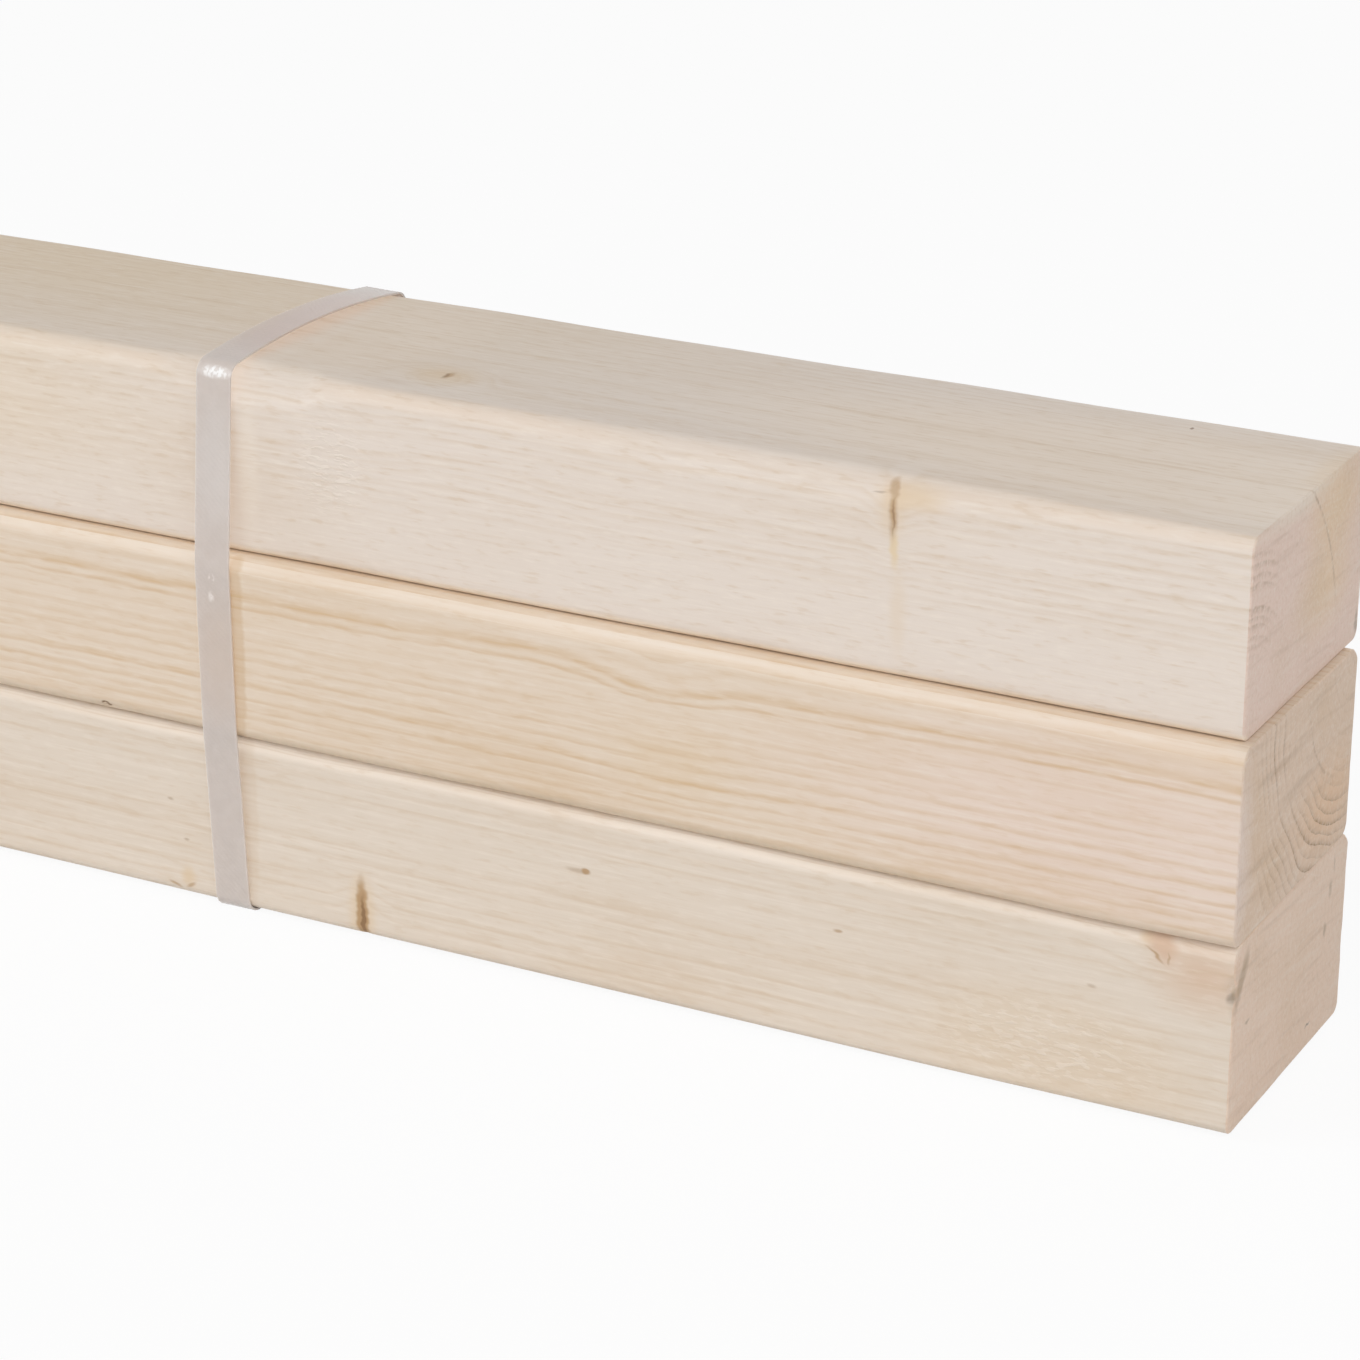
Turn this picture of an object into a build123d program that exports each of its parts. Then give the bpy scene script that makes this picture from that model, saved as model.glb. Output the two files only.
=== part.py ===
from build123d import *
import os
from math import sqrt

# A strapped bundle of planed softwood battens, lying one on top of another on their wide faces.
# Frame: +X along the battens towards the sawn ends on show, +Y from the front faces to the back, +Z up.
# The origin is in the middle of the bundle's box, on the floor. Lengths are in millimetres, angles in degrees.

# One planed batten
batten_length = 1800.0
batten_depth = 69.0
batten_height = 44.0
arris_radius = 3.0

# How the battens slipped before they were strapped, measured from the top batten
middle_forward = 4.0
middle_endways = 1.9
bottom_forward = 1.9
bottom_endways = 1.8

# Wane: the log's round outside, which the planer did not reach, on the top batten's front arris
wane_length = 50.0
wane_radius = 10.0
wane_reach = 6.5
wane_from_end = 235.0

# Plastic strap, which bows up off the top batten, and its two ends that are welded together on the back
strap_width = 9.0
strap_thickness = 0.9
strap_clearance = 0.15
strap_bow = 2.2
strap_from_end = 244.0
strap_lean = 0.4
strap_skew = 2.4
weld_length = 32.0

cut_overrun = 0.5

# Places in the stack, with the top batten's front face at Y = 0 and its right end at X = 0
forward = {"bottom": bottom_forward, "middle": middle_forward, "top": 0}
endways = {"bottom": bottom_endways, "middle": middle_endways, "top": 0}
layers = {name: layer * batten_height for layer, name in enumerate(forward)}
stack_height = batten_height * len(layers)


def batten_section(name):
    """The planed outline of one batten, with its four eased arrises, where it lies in the stack."""
    outline = RectangleRounded(batten_depth, batten_height, arris_radius, align=(Align.MIN, Align.MIN))
    return Plane.YZ * Pos(-forward[name], layers[name]) * outline


def batten(name):
    """A batten is its section run along X, sawn off square at both ends."""
    return Pos(X=endways[name]) * extrude(batten_section(name), amount=-batten_length)


def wane_cut():
    """What the log's surface leaves out of the front top arris: the corner block less a waisted round."""
    axis_depth = (wane_reach + sqrt(2 * wane_radius**2 - wane_reach**2)) / 2
    clear_radius = (axis_depth - arris_radius) * sqrt(2) + arris_radius + cut_overrun
    half_length = wane_length / 2
    waist = ThreePointArc((-half_length, clear_radius), (0, wane_radius), (half_length, clear_radius))
    sides = Polyline(waist @ 1, (half_length, 0), (-half_length, 0), waist @ 0)
    log_surface = revolve(make_face([waist, sides]), Axis.X)
    corner_size = axis_depth + cut_overrun
    corner = Box(wane_length, corner_size, corner_size, align=(Align.CENTER, Align.MAX, Align.MIN))
    return Pos(-wane_from_end, axis_depth, stack_height - axis_depth) * (corner - log_surface)


def hull(points):
    """The corners of the tightest loop around the points, in order around it."""

    def chain(ordered):
        kept = []
        for y, z in ordered:
            while len(kept) > 1:
                (y1, z1), (y2, z2) = kept[-2:]
                if (y2 - y1) * (z - z1) > (z2 - z1) * (y - y1):
                    break
                kept.pop()
            kept.append((y, z))
        return kept[:-1]

    ordered = sorted(points)
    return chain(ordered) + chain(ordered[::-1])


def arris_centres():
    """The middle of every arris round in the stack, seen along the battens."""
    return [
        (y - forward[name], z + layers[name])
        for name in layers
        for y in (arris_radius, batten_depth - arris_radius)
        for z in (arris_radius, batten_height - arris_radius)
    ]


def strap_loop():
    """The loop through the outer arris middles that a strap follows, with its top run bowed up."""
    corners = hull(arris_centres())
    top = max(z for y, z in corners)
    back, front = (corner for corner in corners if corner[1] == top)
    first = corners.index(front)
    sides = Polyline(*corners[first:], *corners[:first])
    crown = ThreePointArc(back, ((back[0] + front[0]) / 2, top + strap_bow), front)
    return make_face([sides, crown])


def strap_layer(number):
    """One layer of strap round the stack: it bends at the outer arrises and spans the steps between them."""
    loop = strap_loop()
    inside = arris_radius + strap_clearance + number * strap_thickness
    band = offset(loop, inside + strap_thickness, kind=Kind.ARC) - offset(loop, inside, kind=Kind.ARC)
    return extrude(Plane.YZ * band, amount=strap_width, both=True)


def strap():
    """A strap round the stack at X = 0: it leans and runs slightly askew, with its weld on the back."""
    middle = Pos(Y=batten_depth / 2, Z=stack_height / 2)
    slab = middle * Rot(Y=-strap_lean, Z=-strap_skew) * Box(strap_width, 2 * batten_depth, 2 * stack_height)
    weld_middle = Pos(Y=batten_depth, Z=stack_height - batten_height / 2)
    weld = strap_layer(1) & weld_middle * Box(2 * strap_width, batten_depth, weld_length)
    return slab & (strap_layer(0) + weld)


strap_right = Pos(X=-strap_from_end) * strap()
strap_left = mirror(strap_right, about=Plane.YZ.offset(-batten_length / 2))

pieces = {
    "batten_bottom": batten("bottom"),
    "batten_middle": batten("middle"),
    "batten_top": batten("top") - wane_cut(),
    "strap_right": strap_right,
    "strap_left": strap_left,
}

whole = Compound(list(pieces.values())).bounding_box()
to_origin = Pos(-whole.center().X, -whole.center().Y, -whole.min.Z)

os.makedirs("parts", exist_ok=True)
for node, shape in pieces.items():
    export_step(to_origin * shape, f"parts/{node}.step")
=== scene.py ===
from collections import namedtuple
from math import cos, hypot, pi, radians, sin, sqrt, tan

import bpy
import numpy as np
from mathutils import Matrix, Vector


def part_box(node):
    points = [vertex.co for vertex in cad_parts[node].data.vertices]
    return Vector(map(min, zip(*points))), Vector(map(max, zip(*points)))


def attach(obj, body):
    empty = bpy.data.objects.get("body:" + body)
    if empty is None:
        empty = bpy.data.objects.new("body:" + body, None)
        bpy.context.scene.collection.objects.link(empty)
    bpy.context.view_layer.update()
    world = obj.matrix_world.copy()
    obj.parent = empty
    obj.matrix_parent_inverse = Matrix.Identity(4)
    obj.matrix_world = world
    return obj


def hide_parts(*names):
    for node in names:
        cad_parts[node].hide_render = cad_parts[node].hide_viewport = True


# A strapped bundle of planed softwood battens: the wood, the straps, and a plain studio round them.
# Lengths are in millimetres and angles in degrees. Places are measured from one corner, the top batten's
# lower front corner at its right end: x along the battens, y from the front to the back, z up.

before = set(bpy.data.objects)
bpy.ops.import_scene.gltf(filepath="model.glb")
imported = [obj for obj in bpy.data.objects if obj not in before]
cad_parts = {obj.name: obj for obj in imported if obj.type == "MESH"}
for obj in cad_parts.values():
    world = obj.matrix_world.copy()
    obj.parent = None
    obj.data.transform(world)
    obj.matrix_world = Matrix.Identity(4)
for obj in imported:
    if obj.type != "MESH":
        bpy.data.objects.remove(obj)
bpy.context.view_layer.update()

MM = 0.001
top_low, top_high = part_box("batten_top")
CORNER = Vector((top_high[0], top_low[1], top_low[2]))


def measured_box(node):
    """A CAD node's lowest and highest corner, in millimetres from the measuring corner."""
    return [(Vector(point) - CORNER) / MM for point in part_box(node)]


def colour(red, green, blue):
    """A colour given in 0 to 255 steps, as it shows in a picture, turned into the renderer's own values."""
    shares = [value / 255 for value in (red, green, blue)]
    return [s / 12.92 if s < 0.04045 else ((s + 0.055) / 1.055) ** 2.4 for s in shares] + [1]


# The camera, fitted to the edges and seams in the photograph
CAMERA_AZIMUTH = 27.761
CAMERA_ELEVATION = 21.637
CAMERA_ROLL = 0.118
CAMERA_PLACE = (257.86, -733.64, 319.18)
FOCAL_PIXELS = 4131.9
PHOTO_PIXELS = 1360


def facing(azimuth, elevation):
    """The direction from the bundle towards a place seen at this azimuth and elevation."""
    a, e = radians(azimuth), radians(elevation)
    return Vector((sin(a) * cos(e), -cos(a) * cos(e), sin(e)))


def turned_to(back):
    """The turn of a camera or lamp that looks the opposite way to back, with its top up."""
    right = Vector((0, 0, 1)).cross(back).normalized()
    return Matrix((right, back.cross(right), back)).transposed().to_4x4()


def add_camera():
    data = bpy.data.cameras.new("camera")
    data.lens = data.sensor_width * FOCAL_PIXELS / PHOTO_PIXELS
    camera = bpy.data.objects.new("camera", data)
    place = Matrix.Translation(CORNER + Vector(CAMERA_PLACE) * MM)
    turn = turned_to(facing(CAMERA_AZIMUTH, CAMERA_ELEVATION))
    camera.matrix_world = place @ turn @ Matrix.Rotation(radians(CAMERA_ROLL), 4, "Z")
    bpy.context.scene.collection.objects.link(camera)
    bpy.context.scene.camera = camera


# Shader nodes, written as sums
class Field:
    """A number or vector that varies over a surface: a shader socket that can be used in sums."""

    def __init__(self, socket):
        self.socket = socket

    def __add__(self, other):
        return calculate("ADD", self, other)

    def __sub__(self, other):
        return calculate("SUBTRACT", self, other)

    def __mul__(self, other):
        return calculate("MULTIPLY", self, other)

    def __truediv__(self, other):
        return calculate("DIVIDE", self, other)

    def __pow__(self, other):
        return calculate("POWER", self, other)

    def __rsub__(self, other):
        return calculate("SUBTRACT", other, self)

    __radd__, __rmul__ = __add__, __mul__


def add_node(tree, kind, inputs=None, **settings):
    """A shader node with its settings, and with its inputs set or linked."""
    node = tree.nodes.new(kind)
    for name, value in settings.items():
        setattr(node, name, value)
    for key, value in (inputs or {}).items():
        if isinstance(value, Field):
            tree.links.new(value.socket, node.inputs[key])
        else:
            node.inputs[key].default_value = value
    return node


def tree_of(*values):
    return next(value for value in values if isinstance(value, Field)).socket.id_data


def calculate(operation, *values):
    node = add_node(tree_of(*values), "ShaderNodeMath", dict(enumerate(values)), operation=operation)
    return Field(node.outputs[0])


def on_vector(operation, *values):
    node = add_node(tree_of(*values), "ShaderNodeVectorMath", dict(enumerate(values)), operation=operation)
    return Field(node.outputs["Value" if operation == "LENGTH" else "Vector"])


def coordinates(place):
    split = add_node(tree_of(place), "ShaderNodeSeparateXYZ", {0: place})
    return [Field(output) for output in split.outputs]


def combined(x, y, z):
    return Field(add_node(tree_of(x, y, z), "ShaderNodeCombineXYZ", {0: x, 1: y, 2: z}).outputs[0])


def smooth(value, start, end, most=1):
    """0 up to start and the most from end on, with a soft rise between them."""
    settings = {"Value": value, "From Min": start, "From Max": end, "To Max": most}
    node = add_node(tree_of(value), "ShaderNodeMapRange", settings, interpolation_type="SMOOTHSTEP")
    return Field(node.outputs[0])


# Noise: the sizes of its patches along x, y and z, and how many finer layers lie on them
Noise = namedtuple("Noise", "sizes layers", defaults=[1])
NOISE_MIDDLE = 0.5
FINER_LAYER_SHARE = 0.55


def cloudy(place, noise, output=0):
    """Noise about its middle value, as a number, or as a colour from output 1."""
    spread = on_vector("MULTIPLY", place, [1 / size for size in noise.sizes])
    settings = {"Vector": spread, "Scale": 1, "Detail": noise.layers, "Roughness": FINER_LAYER_SHARE}
    return Field(add_node(tree_of(place), "ShaderNodeTexNoise", settings).outputs[output])


def tinted(base, tone, amount):
    """The base colour, turned into the tone by an amount from 0 to 1."""
    tree = tree_of(base, tone, amount)
    node = add_node(tree, "ShaderNodeMix", {0: amount, 6: base, 7: tone}, data_type="RGBA")
    return Field(node.outputs[2])


def inside(place, centre, half_size, edge, most=1):
    """The most in an ellipsoid and 0 outside it, with an edge as soft as this share of its size."""
    inverse = [1 / half for half in half_size]
    offset = [-c * i for c, i in zip(centre, inverse)]
    distance = on_vector("LENGTH", on_vector("MULTIPLY_ADD", place, inverse, offset))
    return smooth(distance, 1, 1 - edge, most)


def new_material(name):
    """A material with its output alone, and the place on the surface in millimetres from the corner."""
    material = bpy.data.materials.new(name)
    material.use_nodes = True
    material.node_tree.nodes.clear()
    spot = Field(add_node(material.node_tree, "ShaderNodeTexCoord").outputs["Object"])
    place = on_vector("MULTIPLY_ADD", spot, [1 / MM] * 3, list(-CORNER / MM))
    return material, place


def finish_surface(material, shader):
    output = add_node(material.node_tree, "ShaderNodeOutputMaterial")
    material.node_tree.links.new(shader.outputs[0], output.inputs[0])
    return material


def bumped(height, depth):
    """A surface direction for shading, from a height of 0 to 1 that stands for this depth."""
    settings = {"Height": height, "Strength": 1, "Distance": depth * MM}
    return Field(add_node(tree_of(height), "ShaderNodeBump", settings).outputs[0])


# Wood: each batten is cut from a log, so one set of growth rings runs through its faces and ends.
# The pith is the rings' middle, as y and z, and the tilt is how far it moves across along the batten.
# A ring is given by the height at which its dark line crosses the front face, and by its strength.
# A swerve bends the rings, a tint lies under their lines and a mark over them, a dent lowers the wood,
# and torn grain hides lines and is rough, each in an ellipsoid. A mark's lean is its rise along x and y.
# End lines are where a sawn end shows its rings, and a shake is a crack along one ring.
Ring = namedtuple("Ring", "height strength width", defaults=[1.3])
Swerve = namedtuple("Swerve", "shift centre half_size")
Mark = namedtuple("Mark", "tone strength centre half_size edge lean", defaults=[(0, 0)])
Dent = namedtuple("Dent", "depth centre half_size")
Torn = namedtuple("Torn", "strength centre half_size")
EndLines = namedtuple("EndLines", "strength centre half_size")
Shake = namedtuple("Shake", "radius strength centre half_size")
Batten = namedtuple(
    "Batten",
    "node slot early late end_tone pith tilt ring_width waver waver_length line_strength feathering "
    "rings swerves tints marks dents torn end_lines shakes",
)

KNOT_DARK = colour(124, 92, 62)
KNOT_BROWN = colour(176, 140, 98)
KNOT_PALE = colour(196, 168, 138)
KNOT_HALO = colour(220, 194, 158)
STAIN = colour(214, 182, 156)
CHIP_GREY = colour(122, 106, 90)
GREYED = colour(178, 154, 128)
FLECK_AND_PAINTED_LIGHT = colour(238, 227, 215)
PINKED = colour(232, 213, 201)
YELLOWED = colour(226, 205, 172)
END_LINE = colour(165, 133, 102)
PAINTED_STRAP_SHADOW = colour(200, 166, 122)
PAINTED_BOUNCE_LIGHT = colour(248, 233, 214)
PAINTED_ARRIS_HIGHLIGHT = colour(249, 238, 226)
WARM = colour(237, 222, 206)
OLIVE = colour(230, 202, 166)
BROWNED = colour(228, 192, 158)
ARRIS = colour(232, 212, 192)
PAINTED_UNDERSIDE_SHADE = colour(200, 178, 148)

TOP = Batten(
    node="batten_top",
    slot="wood_pale",
    early=colour(229, 217, 206),
    late=colour(206, 180, 148),
    end_tone=colour(232, 207, 193),
    pith=(-2, 0),
    tilt=-0.03,
    ring_width=2.3,
    waver=0.9,
    waver_length=15,
    line_strength=0.42,
    feathering=1,
    rings=[
        Ring(19, 0.4), Ring(21, 0.5), Ring(23, 0.55), Ring(25.5, 0.55), Ring(27, 0.6), Ring(29, 0.8, 1.6),
        Ring(34, 0.6), Ring(36, 0.6), Ring(38.5, 0.85), Ring(40.5, 0.6), Ring(45, 0.6), Ring(47, 0.6),
        Ring(51.3, 0.5, 2), Ring(56.8, 1, 1.2),
    ],
    swerves=[
        Swerve(3.0, (-79, 0, 38), (9, 16, 22)),
        Swerve(-2.5, (-182, 0, 30), (40, 20, 16)),
        Swerve(-9, (-197, 17, 44), (16, 12, 16)),
    ],
    tints=[
        Mark(YELLOWED, 0.6, (-330, 60, 46), (260, 90, 14), 1),
        Mark(YELLOWED, 0.4, (-330, 0, 30), (110, 10, 36), 1),
        Mark(WARM, 0.9, (-30, 32, 46), (140, 40, 8), 0.6),
        Mark(WARM, 0.5, (-225, 40, 46), (30, 50, 8), 0.6),
        # Painted light that lifts the strap's shade beside it, on the top face and on the front
        Mark(FLECK_AND_PAINTED_LIGHT, 0.6, (-240, 34, 44), (8, 44, 3), 0.6),
        Mark(FLECK_AND_PAINTED_LIGHT, 0.7, (-238, 0, 21), (4, 4, 24), 0.8),
        Mark(ARRIS, 0.6, (-150, 0, 43.4), (420, 6, 3.6), 0.8),
        # Painted bounce light on the lower arris, above the middle batten's ledge
        Mark(PAINTED_BOUNCE_LIGHT, 0.9, (-150, 0, 0.4), (420, 4, 2.2), 0.6),
        Mark(OLIVE, 0.8, (0, 50, 36), (8, 26, 16), 1),
        Mark(OLIVE, 0.7, (0, 46, 20), (8, 24, 16), 1),
    ],
    marks=[
        Mark(KNOT_HALO, 0.6, (-75, 0, 40.5), (11, 9, 4.5), 0.9),
        Mark(KNOT_HALO, 0.45, (-79, 0, 38), (5, 6, 9), 0.9),
        Mark(KNOT_HALO, 0.25, (-77.2, 0, 15), (3, 4, 14), 0.9),
        Mark(YELLOWED, 0.9, (-78.2, 0, 29), (1.6, 4, 6), 0.8),
        Mark(KNOT_BROWN, 0.75, (-78.6, 0, 36.5), (1.5, 4, 8), 0.9),
        Mark(KNOT_DARK, 0.45, (-78.5, 0, 36), (0.4, 3, 6.5), 0.9),
        Mark(KNOT_PALE, 0.9, (-79.2, 0.5, 42.4), (1.9, 4.4, 3.4), 0.5),
        Mark(KNOT_DARK, 0.65, (-78.6, 0.4, 42.8), (1.5, 3, 0.4), 0.7, lean=(1.3, 0)),
        Mark(KNOT_DARK, 0.5, (-80.4, 0, 41.6), (0.4, 2, 1.6), 0.7),
        Mark(KNOT_DARK, 0.4, (-82.4, 0, 40.3), (2.6, 3, 0.2), 0.8),
        Mark(CHIP_GREY, 0.6, (0, 67.6, 4), (3, 1.6, 4), 0.9),
        Mark(KNOT_HALO, 0.45, (-197, 17.5, 44), (13, 9, 5), 0.9),
        Mark(KNOT_BROWN, 0.6, (-196, 18.5, 44), (1.5, 3.4, 3), 0.8),
        Mark(KNOT_DARK, 0.55, (-196.5, 18, 44), (0.8, 2.4, 3), 0.8),
        Mark(KNOT_BROWN, 0.15, (-204, 9, 44), (8, 2.4, 3), 1),
        Mark(KNOT_DARK, 0.7, (-36.9, 60.8, 44), (0.5, 1, 2), 0.6),
    ],
    dents=[
        Dent(0.5, (-78.6, 0, 43.4), (1.3, 4, 3)),
        Dent(0.3, (-196.5, 18.5, 44), (1.8, 1.6, 2)),
    ],
    torn=[Torn(0.5, (-216, 0, 25), (13, 4, 17))],
    end_lines=[EndLines(1.6, (0, 3, 30), (6, 19, 20))],
    shakes=[
        Shake(56.8, 0.6, (0, 37, 41), (6, 5, 6)),
        Shake(56.8, 0.4, (0, 46, 27), (6, 13, 21)),
    ],
)

MIDDLE = Batten(
    node="batten_middle",
    slot="wood_yellow",
    early=colour(227, 210, 191),
    late=colour(206, 170, 122),
    end_tone=colour(224, 200, 179),
    pith=(66, 2),
    tilt=0.0,
    ring_width=2.7,
    waver=1.1,
    waver_length=8,
    line_strength=0.68,
    feathering=0.6,
    rings=[
        Ring(-4, 0.3, 2), Ring(-9, 1, 2.2), Ring(-11.5, 0.9, 1.1), Ring(-15, 0.25), Ring(-19, 0.4),
        Ring(-21.5, 0.45), Ring(-24, 0.55), Ring(-27, 0.6), Ring(-30.5, 0.85, 1.6), Ring(-34, 0.65),
        Ring(-36.5, 0.55), Ring(-38.5, 0.55), Ring(-41, 0.5),
    ],
    swerves=[
        Swerve(-0.5, (-132, -4, -12), (26, 14, 16)),
        Swerve(-0.6, (-128, -4, -31), (34, 14, 13)),
        Swerve(0.25, (-165, -4, -10), (45, 14, 14)),
        Swerve(0.2, (-30, -4, -10), (80, 14, 12)),
    ],
    tints=[
        Mark(PINKED, 0.8, (-20, -4, -24), (110, 10, 34), 0.8),
        Mark(KNOT_HALO, 0.3, (-128, -4, -28), (24, 6, 13), 0.9),
        # Painted highlight along the upper front arris
        Mark(PAINTED_ARRIS_HIGHLIGHT, 0.55, (-150, -4, -0.4), (420, 4, 3.4), 1),
        Mark(BROWNED, 0.75, (1.9, 50, -31), (8, 30, 17), 1),
    ],
    marks=[
        # Painted shadow of the strap, beside it
        Mark(PAINTED_STRAP_SHADOW, 0.4, (-240.5, -4, -22), (2.6, 5, 40), 0.4),
        # Painted shade on the lower arris, which faces down
        Mark(PAINTED_UNDERSIDE_SHADE, 0.5, (-150, -4, -42.8), (420, 3, 2.6), 1),
        Mark(END_LINE, 0.28, (1.9, 22, -11), (4, 24, 2), 1),
        Mark(END_LINE, 0.28, (1.9, 32, -19.5), (4, 20, 2), 1),
        Mark(END_LINE, 0.24, (1.9, 8, -29), (4, 18, 1.8), 1),
        Mark(KNOT_DARK, 0.9, (-278, -4, -42.5), (1.6, 3, 0.9), 0.4),
    ],
    dents=[Dent(1.2, (-278, -3.4, -42.8), (1.6, 2, 1))],
    torn=[],
    end_lines=[
        EndLines(1.5, (1.9, 42, -38), (6, 40, 22)),
        EndLines(1.5, (1.9, 20, -32), (6, 16, 16)),
        EndLines(1.5, (1.9, 14, -9), (6, 14, 18)),
    ],
    shakes=[
        Shake(31.4, 0.4, (1.9, 46, -15), (6, 20, 20)),
        Shake(46.8, 0.4, (1.9, 36, -30), (6, 17, 15)),
    ],
)

BOTTOM = Batten(
    node="batten_bottom",
    slot="wood_pale",
    early=colour(225, 212, 197),
    late=colour(204, 176, 142),
    end_tone=colour(233, 208, 188),
    pith=(75, -60),
    tilt=0.0,
    ring_width=2.6,
    waver=0.9,
    waver_length=15,
    line_strength=0.5,
    feathering=0.7,
    rings=[Ring(-66, 0.6), Ring(-69.5, 0.65), Ring(-75, 0.7), Ring(-79, 0.7), Ring(-82.5, 0.6)],
    swerves=[
        Swerve(0.8, (-210, -1.9, -80), (10, 10, 12)),
        Swerve(0.5, (-16, -1.9, -48), (14, 10, 10)),
    ],
    tints=[
        # Painted highlight along the upper front arris
        Mark(PAINTED_ARRIS_HIGHLIGHT, 0.6, (-150, -1.9, -45), (420, 4, 3.6), 0.7),
        Mark(STAIN, 0.65, (-5, -2, -52), (17, 6, 13), 1),
        Mark(KNOT_HALO, 0.25, (-38, -2, -78), (42, 5, 20), 0.6),
    ],
    marks=[
        # Painted shadow of the strap, beside it
        Mark(PAINTED_STRAP_SHADOW, 0.12, (-240.2, -2, -64), (3, 5, 32), 0.4),
        Mark(KNOT_HALO, 0.7, (-210, -2, -82), (5, 6, 13), 0.9),
        Mark(KNOT_BROWN, 0.85, (-210, -2, -83), (2.2, 5, 12), 0.5),
        Mark(KNOT_DARK, 0.7, (-209.8, -2, -84), (0.9, 4, 8), 0.6),
        Mark(GREYED, 0.55, (-153, -2, -59.2), (4, 3, 0.9), 0.8),
        Mark(KNOT_BROWN, 0.8, (-151, -2, -59), (1.5, 3, 0.9), 0.6),
        Mark(KNOT_BROWN, 0.65, (-88.7, -2, -59.8), (1.6, 3, 0.8), 0.7),
        Mark(GREYED, 0.4, (-29.5, -2, -59.7), (1.5, 3, 0.8), 0.7),
        Mark(KNOT_HALO, 0.5, (-18, -2, -45.4), (2.4, 4, 2.4), 0.8),
        Mark(STAIN, 0.8, (-14.6, -2, -46.6), (5, 5, 5), 0.7, lean=(-0.4, 0)),
        Mark(KNOT_BROWN, 0.7, (-16, -2, -49.2), (3.2, 3, 0.7), 0.9, lean=(-0.75, 0)),
        Mark(KNOT_BROWN, 0.5, (-12.8, -2, -49.6), (0.5, 3, 1.8), 0.8),
        Mark(GREYED, 0.75, (1.8, 2.2, -53), (2.6, 5, 5), 0.7, lean=(0, 1.3)),
        Mark(CHIP_GREY, 0.55, (1, -1.2, -55.8), (1.6, 1.6, 1.6), 0.9, lean=(0, 1)),
        Mark(GREYED, 0.7, (1.8, 7, -64.5), (3, 2, 0.9), 0.8),
        Mark(GREYED, 0.5, (1.8, 58.4, -48.5), (3, 1, 2.8), 0.9),
        Mark(GREYED, 0.6, (1.8, 57, -54), (3, 1.3, 3), 0.9),
        Mark(GREYED, 0.7, (1.8, 54.6, -63), (3, 1.2, 2.4), 0.9),
        Mark(CHIP_GREY, 0.7, (1.8, 46.6, -82.5), (3, 2.2, 0.5), 0.8),
        Mark(GREYED, 0.6, (-262, -2, -64), (1.2, 2, 0.6), 0.8),
        Mark(GREYED, 0.6, (-258, -2, -73.5), (1.2, 2, 0.7), 0.8),
        Mark(KNOT_HALO, 0.6, (-258, -2, -83), (3, 3, 4), 0.9),
        Mark(KNOT_BROWN, 0.65, (-262, -2, -85.6), (2.6, 3, 0.8), 0.8, lean=(-0.3, 0)),
        Mark(KNOT_BROWN, 0.6, (-257.4, -2, -85), (2, 3, 0.8), 0.8, lean=(0.5, 0)),
    ],
    dents=[
        Dent(0.35, (-210, -1.9, -85), (1.4, 4, 6)),
        Dent(1.6, (1.8, -1.9, -54.5), (1.8, 2.5, 3.6)),
        Dent(0.2, (-15, -1.9, -48), (3, 3, 3)),
    ],
    torn=[Torn(0.35, (-40, -2, -76), (40, 4, 16))],
    end_lines=[],
    shakes=[],
)

BLACK = (0, 0, 0, 1)
WHITE = (1, 1, 1, 1)

# How rings lie and bend
RINGS_PER_RAMP = 10
FALL_SHARE = 0.35
SHARPNESS = 3
CHANCE_SHARE = 0.7
DRIFT = Noise((170, 50, 50), 0)
DRIFT_REACH = 1.4
WAVER_HEIGHT = 4
SEASON = Noise((400, 14, 14), 0)
SEASON_SHIFT = 1.5

# How their lines break up, and how clearly sawn ends and torn grain show them
BREAKS = Noise((12, 1.6, 1.6))
BROKEN_FROM, BROKEN_TO = 0.36, 0.62
BREAK_SHARE = 0.7
LEAST_END_LINES = 0.15
FAR_END_LINES = 0.8
END_LINE_GAIN = 1.3
SHAKE_HALF_WIDTH = 0.7
SHAKE_EDGE = 0.7
TORN_EDGE = 0.8
TORN_LINE_LOSS = 0.7

# Streaks over the rings: from where to where in a noise they come up, and how strongly they tint
Streak = namedtuple("Streak", "start end strength")
BLOTCH = Noise((90, 25, 25))
BLOTCHES = Streak(0.45, 0.85, 0.25)
FIBRE = Noise((40, 0.8, 0.8))
DARK_FIBRES = Streak(0.5, 0.8, 0.14)
PALE_FIBRES = Streak(0.5, 0.2, 0.3)
FEATHER = Noise((6, 1.1, 1.1), 2)
DARK_FEATHERS = Streak(0.54, 0.74, 0.3)
PALE_FEATHERS = Streak(0.46, 0.28, 0.35)
SAW = Noise((30, 2.6, 30), 2)
SAW_ANGLE = radians(-4)
DARK_STROKES = Streak(0.5, 0.8, 0.22)
PALE_STROKES = Streak(0.46, 0.2, 0.3)
RAYS = Noise((0.03, 22, 30), 2)
PALE_RAYS = Streak(0.5, 0.75, 0.2)
SHREDS = Noise((3.2, 1, 1), 2)
SHREDS_FROM, SHREDS_TO = 0.5, 0.62

# Ragged edges of marks, and the surface
RAGGED = Noise((5, 2, 2))
RAGGEDNESS = 1.6
FIBRE_RELIEF = 0.4
SHRED_RELIEF = 3
RELIEF_DEPTH = 0.06
WOOD_ROUGHNESS = 0.6
WOOD_SHINE = 0.3


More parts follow.
